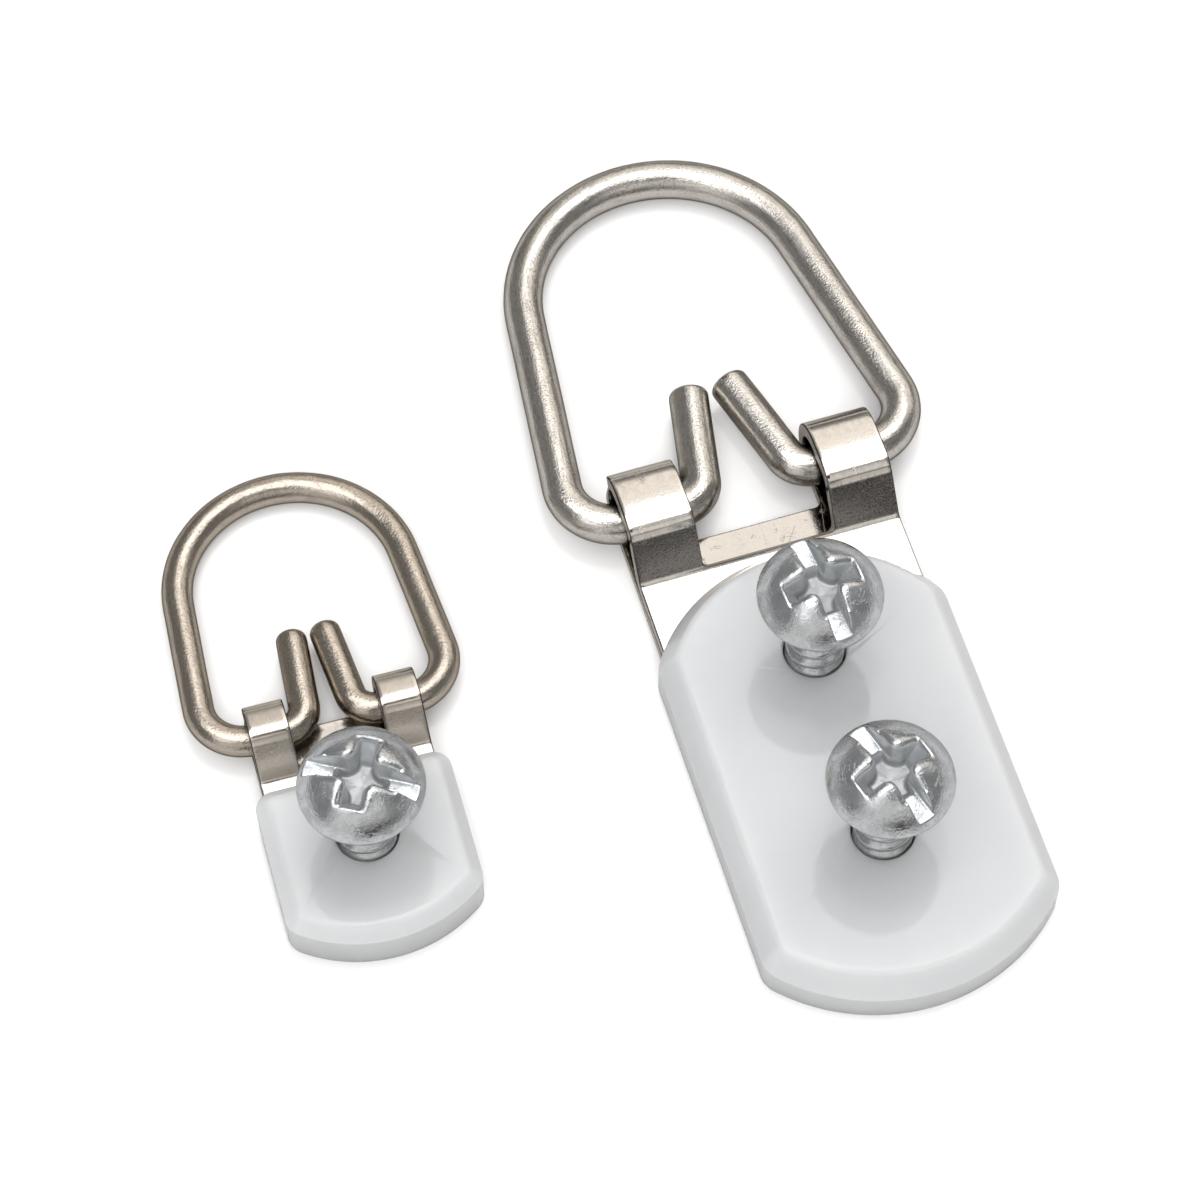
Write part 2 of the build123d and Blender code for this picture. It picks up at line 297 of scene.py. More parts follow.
def fill(bm, *loops):
    """A flat face bounded by closed loops, the inner ones being holes."""
    edges = []
    for loop in loops:
        for i, vert in enumerate(loop):
            pair = (vert, loop[(i + 1) % len(loop)])
            edges.append(bm.edges.get(pair) or bm.edges.new(pair))
    bmesh.ops.triangle_fill(bm, use_beauty=True, use_dissolve=False, edges=edges)


def to_object(bm, name):
    bmesh.ops.recalc_face_normals(bm, faces=bm.faces)
    mesh = bpy.data.meshes.new(name)
    bm.to_mesh(mesh)
    bm.free()
    made = bpy.data.objects.new(name, mesh)
    bpy.context.scene.collection.objects.link(made)
    return made


def modify(made, kind, **settings):
    """Adds a modifier with its settings."""
    modifier = made.modifiers.new(kind.lower(), kind)
    for name, value in settings.items():
        setattr(modifier, name, value)


def apply_modifiers(made):
    """Takes the mesh as its modifiers leave it."""
    bpy.context.view_layer.update()
    seen = made.evaluated_get(bpy.context.evaluated_depsgraph_get())
    mesh = bpy.data.meshes.new_from_object(seen)
    made.modifiers.clear()
    made.data = mesh


def cut(made, tool):
    """Takes the tool out of the object, and deletes the tool."""
    modify(made, "BOOLEAN", operation="DIFFERENCE", solver="EXACT", object=tool)
    apply_modifiers(made)
    bpy.data.objects.remove(tool)


def set_down(made, place, body, node, material, sharp):
    """Puts a piece drawn in millimetres in its place in metres, and hands it to the frame."""
    made.data.transform(Matrix.Scale(MILLIMETRE, 4) @ place)
    made.data.update()
    for face in made.data.polygons:
        face.use_smooth = True
    made.data.set_sharp_from_angle(angle=radians(sharp))
    made.data.materials.clear()
    made.data.materials.append(material)
    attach(made, body)
    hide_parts(node)


def box_middle(node):
    """Middle of a node's box on the table, in millimetres."""
    low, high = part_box(node)
    middle = (low + high) / 2 / MILLIMETRE
    return middle.x, middle.y


def hangers(scene):
    """Both hangers: name, sizes, place on the table, and where the screw holes are."""
    large, small = millimetres(scene.large_hanger), millimetres(scene.small_hanger)
    half = large.screw_spacing / 2
    # the small hanger's origin is its screw hole
    beside = Matrix.Translation((*box_middle("small_screw"), 0)) @ Matrix.Rotation(small.turn, 4, "Z")
    return (("large", large, Matrix(), (half, -half)), ("small", small, beside, (0.0,)))


def ring_line(s):
    """Centre line of a ring in its own plane, from cut end to cut end, its foot on the real axis."""
    crown = 1j * (s.ring_height - s.crown_radius)
    leg_root = (s.crown_radius + crown.imag * sin(s.leg_lean)) / cos(s.leg_lean)
    leg_top = crown + cmath.rect(s.crown_radius, s.leg_lean)
    prong_tip = s.prong_spacing / 2 + 1j * s.prong_height
    prong_root = s.prong_spacing / 2 + s.prong_height * tan(s.prong_lean)
    right = rounded_line(
        [prong_tip, prong_root + 0j, leg_root + 0j, leg_top], [s.prong_bend, s.corner_bend], 0.4, radians(3))
    over = arc(crown, s.crown_radius, s.leg_lean, pi - s.leg_lean, radians(2))
    left = [(-p.conjugate(), d.conjugate()) for p, d in reversed(right)]
    return joined(right, over, left)


def make_ring(name, s, sides=56, end_steps=6):
    """Round wire bent to a D, its cut ends turned up into it. Attribute straight keeps each
    point's place on the wire as it was before bending, so that drawn streaks follow the wire."""
    bm = bmesh.new()
    unbent = bm.verts.layers.float_vector.new("straight")
    line = ring_line(s)
    radius, ease = s.wire / 2, s.prong_rounding
    total = sum(abs(b[0] - a[0]) for a, b in zip(line, line[1:]))

    def section(point, direction, along, size, push=0.0):
        verts = []
        for i in range(sides):
            turn = tau * i / sides
            across, up = cos(turn), sin(turn)
            probe = Vector((along, across * radius, up * radius))
            # drawn wire is never perfectly round or straight
            waver = 0.012 * noise.noise(probe * 0.35 + Vector((0, 0, radius)))
            waver += 0.004 * noise.noise(probe * 1.7)
            grow = size + waver
            spot = point + direction * push + direction * 1j * across * grow
            vert = bm.verts.new((spot.real, spot.imag, up * grow))
            vert[unbent] = probe
            verts.append(vert)
        return verts

    def end_cap(point, direction, along, loop, side):
        """Sheared end: a nearly flat face with a soft edge."""
        for share in (0.66, 0.33):
            depth = side * 0.05 * (1 - share) * ease
            inner = section(point, direction, along, (radius - ease) * share, -depth)
            bridge(bm, [loop, inner])
            loop = inner
        fan(bm, loop, (point.real, point.imag, 0))[unbent] = (along, 0, 0)

    # the cut ends' rounding: radius of each section, and how far it lies from the end
    ends = []
    for i in range(end_steps):
        turn = pi / 2 * i / end_steps
        ends.append((radius - ease + ease * sin(turn), ease * (1 - cos(turn))))
    first, last = line[0], line[-1]
    loops = [section(*first, push, size, push) for size, push in ends]
    along = 0.0
    for (point, direction), previous in zip(line, line[:1] + line):
        along += abs(point - previous[0])
        if ease < along < total - ease:
            loops.append(section(point, direction, along, radius))
    loops += [section(*last, total - push, size, -push) for size, push in reversed(ends)]
    bridge(bm, loops)
    end_cap(*first, 0, loops[0], 1)
    end_cap(*last, total, loops[-1], -1)
    return to_object(bm, name)


def ring_place(s):
    """The ring hangs in its loops by its foot and rests on the table by its crown."""
    foot_height = s.sheet + s.loop_play + s.wire / 2
    droop = asin((foot_height - s.wire / 2) / s.ring_height)
    return (
        Matrix.Translation((s.ring_shift, s.ring_foot, foot_height))
        @ Matrix.Rotation(s.ring_turn, 4, "Z")
        @ Matrix.Rotation(-droop, 4, "X")
    )


def sheet_line(s):
    """Middle of the folded sheet seen from the side, from tail round the fold and back to tail."""
    inner = s.wire + 2 * s.loop_play
    fold = (inner + s.sheet) / 2
    back, top = s.sheet / 2, s.sheet / 2 + 2 * fold
    front = s.sheet * 1.5 + LEAF_GAP
    slope = rounded_line(
        [s.fold_centre + 1j * top, s.slope_top + 1j * top, s.slope_foot + 1j * front, s.tail + 1j * front],
        [s.slope_bend, s.foot_bend], 60, radians(5))
    line = joined(
        straight(s.tail + 1j * back, s.fold_centre + 1j * back, 60),
        arc(s.fold_centre + 1j * (back + fold), fold, -pi / 2, pi / 2, radians(5)),
        straight(s.fold_centre + 1j * top, slope[1][0], 0.15),
        slope[1:])
    # the top of the loop swells a little between the fold and the slope
    near, reach = s.slope_top - 0.2 * s.slope_bend, s.fold_centre + 0.35 * fold
    swelled = []
    for point, direction in line:
        share = (point.real - near) / (reach - near)
        if point.imag > back + fold and 0 < share < 1:
            lean = s.loop_crown * 0.7 * pi * cos(pi * share**0.7) * share**-0.3 / (reach - near)
            point += 1j * s.loop_crown * sin(pi * share**0.7)
            direction *= cmath.exp(-1j * atan(lean))
        swelled.append((point, direction))
    return swelled


def sheet_reach(line):
    """Distance along the sheet to each point of its line, the bends counted as arcs."""
    reach = [0.0]
    for a, b in zip(line, line[1:]):
        step = abs(b[0] - a[0])
        turn = abs(cmath.phase(b[1] / a[1]))
        reach.append(reach[-1] + (step * turn / 2 / sin(turn / 2) if turn > 1e-4 else step))
    return reach


def stamp_sheet(s, line, reach, holes, hole_radius):
    """The strap's flat sheet with its window and holes, cut across where it bends."""

    def front_reach(y):
        """Distance along the sheet to where the front leaf passes y."""
        for i in range(len(line) - 1, 0, -1):
            low, high = line[i][0].real, line[i - 1][0].real
            if low <= y <= high:
                return reach[i] - (reach[i] - reach[i - 1]) * (y - low) / (high - low)

    total = reach[-1]
    half = s.strap_width / 2
    bottom = arched_end(half, s.bottom_radius, 0.0)
    outline = bottom + [(x, total - y) for x, y in reversed(bottom)]
    gap = half - s.finger
    low, high, corner = s.back_notch - s.tail, front_reach(s.front_notch), s.notch_corner
    window = []
    for centre, start in (
        (complex(gap - corner, low + corner), -pi / 2), (complex(gap - corner, high - corner), 0),
        (complex(corner - gap, high - corner), pi / 2), (complex(corner - gap, low + corner), pi)):
        window += [(p.real, p.imag) for p, _ in arc(centre, corner, start, start + pi / 2, radians(15))]
    bm = bmesh.new()
    loops = [add_loop(bm, [(x, y, 0) for x, y in edge]) for edge in (outline, window)]
    for hole in holes:
        for middle in (hole - s.tail, total - (hole - s.tail)):
            loops.append(add_loop(bm, circle(hole_radius, 48, middle)))
    fill(bm, *loops)
    fold_start, slope_end = s.fold_centre - s.tail, front_reach(s.slope_foot - 3 * s.foot_bend)
    cuts = [((0, station, 0), (0, 1, 0)) for station in reach if fold_start - 1e-4 <= station <= slope_end]
    rims = (half - FINGER_RIM, gap + FINGER_RIM, -gap - FINGER_RIM, FINGER_RIM - half)
    cuts += [((x, 0, 0), (1, 0, 0)) for x in rims]
    for place, across in cuts:
        bmesh.ops.bisect_plane(
            bm, geom=bm.verts[:] + bm.edges[:] + bm.faces[:], dist=1e-4, plane_co=place, plane_no=across)
    bmesh.ops.recalc_face_normals(bm, faces=bm.faces)
    if sum(face.normal.z for face in bm.faces) < 0:
        bmesh.ops.reverse_faces(bm, faces=bm.faces)
    return bm


def make_strap(name, s, holes, hole_radius):
    """Steel strap stamped flat, with a window and holes, then folded double over the ring. Attribute
    worked holds the side of the sheet, 1 outside and -1 inside, and how far the steel was bent."""
    line = sheet_line(s)
    reach = sheet_reach(line)
    flat = stamp_sheet(s, line, reach, holes, hole_radius)
    half = s.strap_width / 2
    top = s.fold_centre + s.wire / 2 + s.loop_play + s.sheet
    folded = bmesh.new()
    stamped = folded.verts.layers.float_vector.new("straight")
    worked = folded.verts.layers.float_vector.new("worked")

    def place(vert, side):
        x, distance = vert.co.x, vert.co.y
        i = max(k for k in range(len(reach) - 1) if reach[k] <= distance + 1e-5)
        share = (distance - reach[i]) / (reach[i + 1] - reach[i])
        point = line[i][0] * (1 - share) + line[i + 1][0] * share
        direction = line[i][1] * (1 - share) + line[i + 1][1] * share
        spot = point - 1j * direction / abs(direction) * side * s.sheet / 2
        # the fingers' outer corners are rounded where the fold turns over
        over = spot.real - (top - s.finger_corner)
        if over > 0 and abs(x) > half - s.finger_corner:
            limit = half - s.finger_corner + sqrt(max(0.0, s.finger_corner**2 - over**2))
            if abs(x) < half - 0.01:
                limit -= FINGER_RIM / 2
            x = copysign(min(abs(x), limit), x)
        made = folded.verts.new((x, spot.real, spot.imag))
        made[stamped] = (vert.co.x, distance, side * s.sheet / 2)
        # the steep slopes are bent most
        tilt = abs(cmath.phase(direction if point.imag < s.sheet else -direction))
        on_slope = point.real < s.slope_top + s.slope_bend
        made[worked] = (side, min(1.0, tilt / 0.93) if on_slope else 0.5 * min(1.0, tilt / 0.5), 0)
        return made

    outer = {v: place(v, 1) for v in flat.verts}
    inner = {v: place(v, -1) for v in flat.verts}
    for face in flat.faces:
        folded.faces.new([outer[v] for v in face.verts])
        folded.faces.new([inner[v] for v in reversed(face.verts)])
    for edge in flat.edges:
        if edge.is_boundary:
            a, b = edge.verts
            folded.faces.new((outer[a], outer[b], inner[b], inner[a]))
    flat.free()
    made = to_object(folded, name)
    # the rounding's faces are told apart by their material number, to be marked as rolled edges, which carry
    # a painted dark line
    made.data.materials.append(None)
    made.data.materials.append(None)
    modify(made, "BEVEL", width=ROLLED_EDGE, use_clamp_overlap=False, segments=2, limit_method="ANGLE",
           angle_limit=radians(50), material=1)
    apply_modifiers(made)
    numbers = [face.material_index for face in made.data.polygons]
    made.data.attributes.new("rolled", "FLOAT", "FACE").data.foreach_set("value", numbers)
    for face in made.data.polygons:
        face.material_index = 0
    modify(made, "WEIGHTED_NORMAL", keep_sharp=True)
    return made


def cover_outline(s):
    """Front view of a cover as (point, outward direction), anticlockwise from the right side."""
    half = s.cover_width / 2
    upper, lower = s.top_corner, s.bottom_corner
    bottom = 1j * (s.cover_bottom + s.bottom_radius)
    low_right = complex(half - lower, bottom.imag - sqrt((s.bottom_radius - lower)**2 - (half - lower)**2))
    coarse, fine = radians(3), radians(6)
    if s.top_radius:
        top = 1j * (s.cover_top - s.top_radius)
        high_right = complex(half - upper, top.imag + sqrt((s.top_radius - upper)**2 - (half - upper)**2))
        lift = cmath.phase(high_right - top)
        crown = arc(top, s.top_radius, lift, pi - lift, coarse)
    else:
        high_right = complex(half - upper, s.cover_top - upper)
        lift = pi / 2
        crown = []
    fall = -cmath.phase(low_right - bottom)
    turns = joined(
        arc(high_right, upper, 0, lift, fine),
        crown,
        arc(-high_right.conjugate(), upper, pi - lift, pi, fine),
        arc(-low_right.conjugate(), lower, pi, pi + fall, fine),
        arc(bottom, s.bottom_radius, pi + fall, tau - fall, coarse),
        arc(low_right, lower, tau - fall, tau, fine))
    return [(point, -1j * direction) for point, direction in turns]


def make_cover(name, s, holes, hole_radius):
    """Moulded cover: upright wall, bevelled edge, flat face with holes, and a pocket in its back."""
    outline = cover_outline(s)
    face = s.cover_thickness
    profile = rounded_line(
        [0.3 + 0j, 0j, 1j * s.wall, s.bevel_inset + 1j * face, s.bevel_inset + 0.33 + 1j * face],
        [0.12, 0.28, s.edge_rounding * 1.5], 9, radians(12))
    bm = bmesh.new()
    loops = []
    for spot, _ in profile:
        ring = [(point - outward * spot.real) for point, outward in outline]
        loops.append(add_loop(bm, [(place.real, place.imag, spot.imag) for place in ring]))
    bridge(bm, loops)
    # each hole has a small rounding at the back and a larger one at the face
    lips = [(0.1, 0), (0.03, 0.03), (0, 0.1), (0, face - 0.16), (0.05, face - 0.05), (0.16, face)]
    bores = []
    for hole in holes:
        bores.append([add_loop(bm, circle(hole_radius + out, 64, hole, height)) for out, height in lips])
        bridge(bm, bores[-1])
    fill(bm, loops[0], *[rings[0] for rings in bores])
    fill(bm, loops[-1], *[rings[-1] for rings in bores])
    made = to_object(bm, name)

    half = s.strap_width / 2 + POCKET_GAP
    edge = arched_end(half, s.bottom_radius, s.tail - POCKET_GAP)
    edge += [(half, s.cover_top + 1), (-half, s.cover_top + 1)]
    pocket = bmesh.new()
    ends = [add_loop(pocket, [(x, y, z) for x, y in edge]) for z in (-1, 2 * s.sheet + LEAF_GAP)]
    bridge(pocket, ends)
    for end in ends:
        pocket.faces.new(end)
    cut(made, to_object(pocket, name + "_pocket"))
    modify(made, "WEIGHTED_NORMAL", keep_sharp=True)
    return made


def dome(s, distance):
    """Height of the head's dome at a distance from its axis."""
    radius, rise = s.head / 2, s.head_height - s.rim
    curve = (radius**2 + rise**2) / (2 * rise)
    return s.head_height - curve + sqrt(curve**2 - distance**2)


def cross_tool(s):
    """The punch of the cross recess: rounded between its wings, flared where it meets the dome."""
    span, wing = s.cross_span / 2, s.cross_wing / 2
    corners, radii = [], []
    for quarter in range(4):
        turn = 1j**quarter
        corners += [turn * complex(span, -wing), turn * complex(span, wing), turn * complex(wing, wing)]
        radii += [0.2, 0.2, 0.75]
    start = (corners[-1] + corners[0]) / 2
    line = rounded_line([start] + corners + [start], radii, 0.25, radians(12))[:-1]
    floor = s.head_height - s.cross_depth
    # rings of the punch: depth below the dome, how far it flares, and share of the way to the floor
    levels = [(-0.7, 0.6, 0), (0.0, 0.6, 0), (0.04, 0.42, 0), (0.12, 0.26, 0), (0.24, 0.13, 0),
              (0.4, 0.04, 0), (0.55, 0.0, 0), (0.55, -0.04, 0.35), (0.55, -0.09, 0.7),
              (0.55, -0.12, 0.93), (0.55, -0.2, 1)]
    bm = bmesh.new()
    loops = []
    for depth, grow, fall in levels:
        limit = span + 0.4 * max(grow, 0) + (s.cross_root / 2 - span) * fall
        loop = []
        for point, direction in line:
            place = point - 1j * direction * grow
            x = max(-limit, min(limit, place.real))
            y = max(-limit, min(limit, place.imag))
            height = dome(s, hypot(x, y)) - depth
            loop.append((x, y, height * (1 - fall) + floor * fall))
        loops.append(add_loop(bm, loop))
    bridge(bm, loops)
    fan(bm, loops[0], (0, 0, s.head_height + 1))
    fan(bm, loops[-1], (0, 0, floor - 0.08))
    return to_object(bm, "cross_tool")


def slot_tool(s):
    """The saw of the slot, a little wider at the top."""
    floor, top = s.head_height - s.slot_depth, s.head_height + 0.6
    low, high = s.slot_width / 2 - 0.02, s.slot_width / 2 + 0.06
    reach = s.head / 2 + 1
    bm = bmesh.new()
    ends = [add_loop(bm, [(x, -low, floor), (x, low, floor), (x, high, top), (x, -high, top)])
            for x in (-reach, reach)]
    bridge(bm, ends)
    for end in ends:
        bm.faces.new(end)
    return to_object(bm, "slot_tool")


def make_head(s):
    """Cold-formed round head with its underside at zero, every edge softened by the forming. Attribute
    sunk is how deep a point lies below the dome, for the duller metal inside the slot and the cross."""
    radius = s.head / 2
    profile = [(0.3, 0.0), (1.4, 0.0), (radius - 0.5, 0.02), (radius - 0.14, 0.05), (radius - 0.03, 0.14),
               (radius, 0.26), (radius, s.rim)]
    out_along = [radius * cos(pi / 48 * i) for i in range(1, 24)]
    profile += [(out, dome(s, out)) for out in out_along]
    bm = bmesh.new()
    loops = [add_loop(bm, circle(out, 96, 0.0, height)) for out, height in profile]
    bridge(bm, loops)
    fan(bm, loops[0], (0, 0, 0))
    fan(bm, loops[-1], (0, 0, s.head_height))
    head = to_object(bm, "head")
    cut(head, slot_tool(s))
    cut(head, cross_tool(s))
    modify(head, "REMESH", mode="VOXEL", voxel_size=HEAD_GRID)
    modify(head, "SMOOTH", factor=0.5, iterations=2)
    apply_modifiers(head)
    depths = []
    for vertex in head.data.vertices:
        out = min(radius, hypot(vertex.co.x, vertex.co.y))
        lowest = s.rim if out > s.cross_span / 2 else (s.head_height - s.cross_depth) / 2
        depths.append(dome(s, out) - vertex.co.z if vertex.co.z > lowest else 0.0)
    head.data.attributes.new("sunk", "FLOAT", "POINT").data.foreach_set("value", depths)
    return head


def add_shank(bm, s, reach_down, sides=64):
    """Threaded shank hanging from zero, its thread running out at the neck and on the point."""
    root, crest = s.root / 2, s.thread / 2
    sunk = 0.06  # how far the shank reaches up into the head
    rows = round(reach_down / (s.pitch / 20))
    half_crest, half_base = s.crest / 2, (s.pitch - s.crest) / 2
    taper_start = s.point - reach_down
    loops = []
    for row in range(rows + 1):
        z = sunk - (reach_down + sunk) * row / rows
        down = max(0.0, taper_start - z) / s.point
        core = root + (s.point_flat / 2 - root) * down
        fade = min(1.0, max(0.0, (-s.neck - z) / (0.5 * s.pitch) + 0.25)) * (1 - 0.75 * down)
        # the neck widens into the head
        if z > -0.3:
            core += 0.15 * (max(0.0, z + 0.3) / 0.36) ** 2
        loop = []
        for i in range(sides):
            turn = i / sides
            offset = (z / s.pitch - turn + 0.5) % 1 - 0.5
            rise = (half_base - abs(offset) * s.pitch) / (half_base - half_crest)
            ridge = (crest - root) * min(1.0, max(0.0, rise)) * fade
            # rolled crests are a little uneven
            spin = tau * turn
            ridge *= 1 - 0.12 * (0.5 + noise.noise((cos(spin) * 2, sin(spin) * 2, z * 1.3)))
            reach = core + ridge
            loop.append((reach * cos(spin), reach * sin(spin), z))
        loops.append(add_loop(bm, loop))
    bridge(bm, loops)
    fan(bm, loops[0], (0, 0, sunk))
    fan(bm, loops[-1], (0, 0, -reach_down))


def make_screw(name, s, head, reach_down):
    """A shank with the head on top."""
    bm = bmesh.new()
    bm.verts.layers.float.new("sunk")
    add_shank(bm, s, reach_down)
    bm.from_mesh(head.data)
    return to_object(bm, name)


# Materials

class Value:
    """A value in a node tree, which is reckoned with as a number is, by nodes"""

    def __init__(self, socket):
        self.socket = socket
        self.tree = socket.id_data

    def __add__(self, other):
        return maths("ADD", self, other)

    def __radd__(self, number):
        return maths("ADD", number, self)

    def __sub__(self, other):
        return maths("SUBTRACT", self, other)

    def __rsub__(self, number):
        return maths("SUBTRACT", number, self)

    def __mul__(self, other):
        return maths("MULTIPLY", self, other)

    def __truediv__(self, other):
        return maths("DIVIDE", self, other)

    def __rtruediv__(self, number):
        return maths("DIVIDE", number, self)


class Outputs:
    """The values that come out of a node, by name or number"""

    def __init__(self, node):
        self.node = node

    def __getitem__(self, name):
        return Value(self.node.outputs[name])


def feed(node, inputs):
    """Links or sets each named input of a node."""
    for name, value in inputs.items():
        if isinstance(value, Value):
            value.tree.links.new(value.socket, node.inputs[name])
        else:
            node.inputs[name].default_value = value


def add(tree, kind, inputs=None, **settings):
    """Outputs of a new node with its inputs and its settings."""
    made = tree.nodes.new("ShaderNode" + kind)
    for name, value in settings.items():
        setattr(made, name, value)
    feed(made, inputs or {})
    return Outputs(made)


def maths(operation, a, b=0.0):
    tree = a.tree if isinstance(a, Value) else b.tree
    return add(tree, "Math", {0: a, 1: b}, operation=operation)[0]


def spread(value, low, high, to_low=0.0, to_high=1.0):
    """Takes the range from low to high to another range, without going past its ends."""
    inputs = {"Value": value, "From Min": low, "From Max": high, "To Min": to_low, "To Max": to_high}
    return add(value.tree, "MapRange", inputs, clamp=True, interpolation_type="SMOOTHSTEP")[0]


def stretched(vector, *factors):
    return add(vector.tree, "VectorMath", {0: vector, 1: factors}, operation="MULTIPLY")[0]


def turned(vector, turn, **settings):
    return add(vector.tree, "VectorRotate", {"Vector": vector, "Angle": turn}, **settings)[0]


def noise_texture(vector, scale, **inputs):
    return add(vector.tree, "TexNoise", {"Vector": vector, "Scale": scale, **inputs})


def mix(share, a, b):
    """Two colours mixed: the first where the share is zero, the second where it is one."""
    return add(share.tree, "Mix", {0: share, 6: a, 7: b}, data_type="RGBA", clamp_factor=True)[2]


def rgb(value):
    return (*value, 1.0)


def grey(value):
    return (value, value, value, 1.0)


def new_group(name, inputs, outputs):
    """Values that a new node group is given by name, and the node that takes what it puts out."""
    group = bpy.data.node_groups.new(name, "ShaderNodeTree")
    kinds = {type(None): "Vector", float: "Float", tuple: "Color"}
    for label, default in inputs.items():
        kind = kinds[type(default)]
        socket = group.interface.new_socket(label, in_out="INPUT", socket_type="NodeSocket" + kind)
        if default is not None:
            socket.default_value = default
    for label in outputs:
        kind = "Color" if label == "Color" else "Float"
        group.interface.new_socket(label, in_out="OUTPUT", socket_type="NodeSocket" + kind)
    return Outputs(group.nodes.new("NodeGroupInput")), group.nodes.new("NodeGroupOutput")


def grain_group():
    """Fine grain of plated or moulded surfaces: a height made of two sizes of noise."""
    given, end = new_group(
        "Fine grain", {"Vector": None, "Grain size": 0.08, "Ripple size": 0.6, "Ripple": 0.5},
        ("Height", "Ripples", "Specks"))
    fine = noise_texture(given["Vector"], 1.0 / given["Grain size"], Detail=2.0, Roughness=0.6)[0]
    broad = noise_texture(given["Vector"], 1.0 / given["Ripple size"], Detail=3.0, Roughness=0.5)[0]
    specks = spread(fine, 0.53, 0.66)
    feed(end, {"Height": fine + broad * given["Ripple"], "Ripples": broad, "Specks": specks})


def pits_group():
    """Small scattered pits and specks: a mask that is one in a speck and zero elsewhere."""
    given, end = new_group(
        "Pits and specks", {"Vector": None, "Spacing": 0.9, "Pit size": 0.2, "Amount": 0.4}, ("Mask",))
    vector = given["Vector"]
    warp = noise_texture(vector, 6.0, Detail=2.0)["Color"]
    shift = stretched(warp, 0.12, 0.12, 0.12)
    bent = add(vector.tree, "VectorMath", {0: vector, 1: warp, 2: shift}, operation="MULTIPLY_ADD")[0]
    cells = add(vector.tree, "TexVoronoi", {"Vector": bent, "Scale": 1.0 / given["Spacing"]})
    near = spread(cells["Distance"], given["Pit size"], given["Pit size"] * 0.6)
    chosen = add(vector.tree, "SeparateColor", {0: cells["Color"]})[0]
    feed(end, {"Mask": near * maths("LESS_THAN", chosen, given["Amount"])})


def mottle_group():
    """Cloudy patches: a share from zero to one that drifts over the surface, and a mix of two colours."""
    given, end = new_group(
        "Mottle",
        {"Vector": None, "Patch size": 2.0, "Contrast": 0.5, "First": grey(1.0), "Second": grey(0.0)},
        ("Color", "Share"))
    clouds = noise_texture(given["Vector"], 1.0 / given["Patch size"], Detail=6.0, Roughness=0.62)[0]
    reach = 0.3 - given["Contrast"] * 0.25
    share = spread(clouds, 0.5 - reach, 0.5 + reach)
    feed(end, {"Share": share, "Color": mix(share, given["First"], given["Second"])})


def scratches_group():
    """Fine scratches in two directions, broken up so that none runs far."""
    given, end = new_group("Scratches", {"Vector": None, "Spacing": 0.5, "Amount": 0.3}, ("Mask",))
    masks = []
    for turn in (0.5, 2.2):
        long = stretched(turned(given["Vector"], turn), 0.12, 1.0, 1.0)
        lines = noise_texture(long, 1.0 / given["Spacing"], Detail=4.0, Distortion=0.3)[0]
        masks.append(spread(maths("ABSOLUTE", lines - 0.5), 0.012, 0.003))
    limit = 0.75 - given["Amount"] * 0.5
    here = spread(noise_texture(given["Vector"], 0.9, Detail=2.0)[0], limit, limit + 0.08)
    feed(end, {"Mask": maths("MAXIMUM", *masks) * here})


GROUP_MAKERS = {"Fine grain": grain_group, "Pits and specks": pits_group, "Mottle": mottle_group,
                "Scratches": scratches_group}


def use(name, vector, **inputs):
    """Outputs of a node group, which is built when it is first used. Each input's name is written
    with low lines for its spaces."""
    if name not in bpy.data.node_groups:
        GROUP_MAKERS[name]()
    made = vector.tree.nodes.new("ShaderNodeGroup")
    made.node_tree = bpy.data.node_groups[name]
    feed(made, {"Vector": vector})
    feed(made, {label.replace("_", " "): value for label, value in inputs.items()})
    return Outputs(made)


def new_material(name):
    """A material, its tree and its shader."""
    material = bpy.data.materials.new(name)
    material.use_nodes = True
    return material, material.node_tree, material.node_tree.nodes["Principled BSDF"]


def in_space(tree):
    """The place on the surface, in millimetres."""
    return stretched(add(tree, "TexCoord")["Object"], 1000.0, 1000.0, 1000.0)


def attribute(tree, name, output="Fac"):
    return add(tree, "Attribute", attribute_name=name)[output]


def facing_up(tree):
    return add(tree, "SeparateXYZ", {0: add(tree, "NewGeometry")["Normal"]})["Z"]


def bumped(height, depth):
    """Normals of a surface raised by the height times the depth, which is in millimetres."""
    return add(height.tree, "Bump", {"Height": height, "Distance": depth * MILLIMETRE})[0]


def wire_material(colours, name, bright):
    """Nickel on drawn wire: streaks along the wire, fine grain, small dark pits. Attribute straight
    is the place on the wire before it was bent."""
    material, tree, shader = new_material(name)
    bright, dull = rgb(bright), rgb(colours.wire_dull)
    along = attribute(tree, "straight", "Vector")
    streaks = noise_texture(stretched(along, 0.13, 1.0, 1.0), 5.0, Detail=4.0, Roughness=0.6)[0]
    grain = use("Fine grain", along, Grain_size=0.13, Ripple_size=0.9, Ripple=0.4)
    pits = use("Pits and specks", along, Spacing=0.62, Pit_size=0.17, Amount=0.42)["Mask"]
    clouds = use("Mottle", along, Patch_size=1.3, Contrast=0.6, First=bright, Second=dull)
    base = mix(spread(streaks, 0.42, 0.7) * 0.6, bright, clouds["Color"])
    base = mix(grain["Specks"] * 0.55, base, dull)
    feed(shader, {
        "Base Color": mix(pits * 0.8, base, rgb(colours.dirt)),
        "Roughness": spread(streaks, 0.3, 0.7, 0.1, 0.2),
        "Metallic": 1.0,
        "Specular Tint": (0.16, 0.145, 0.13, 1),
        "Normal": bumped(streaks * 0.8 + grain["Height"] - pits * 1.2, 0.02)})
    return material


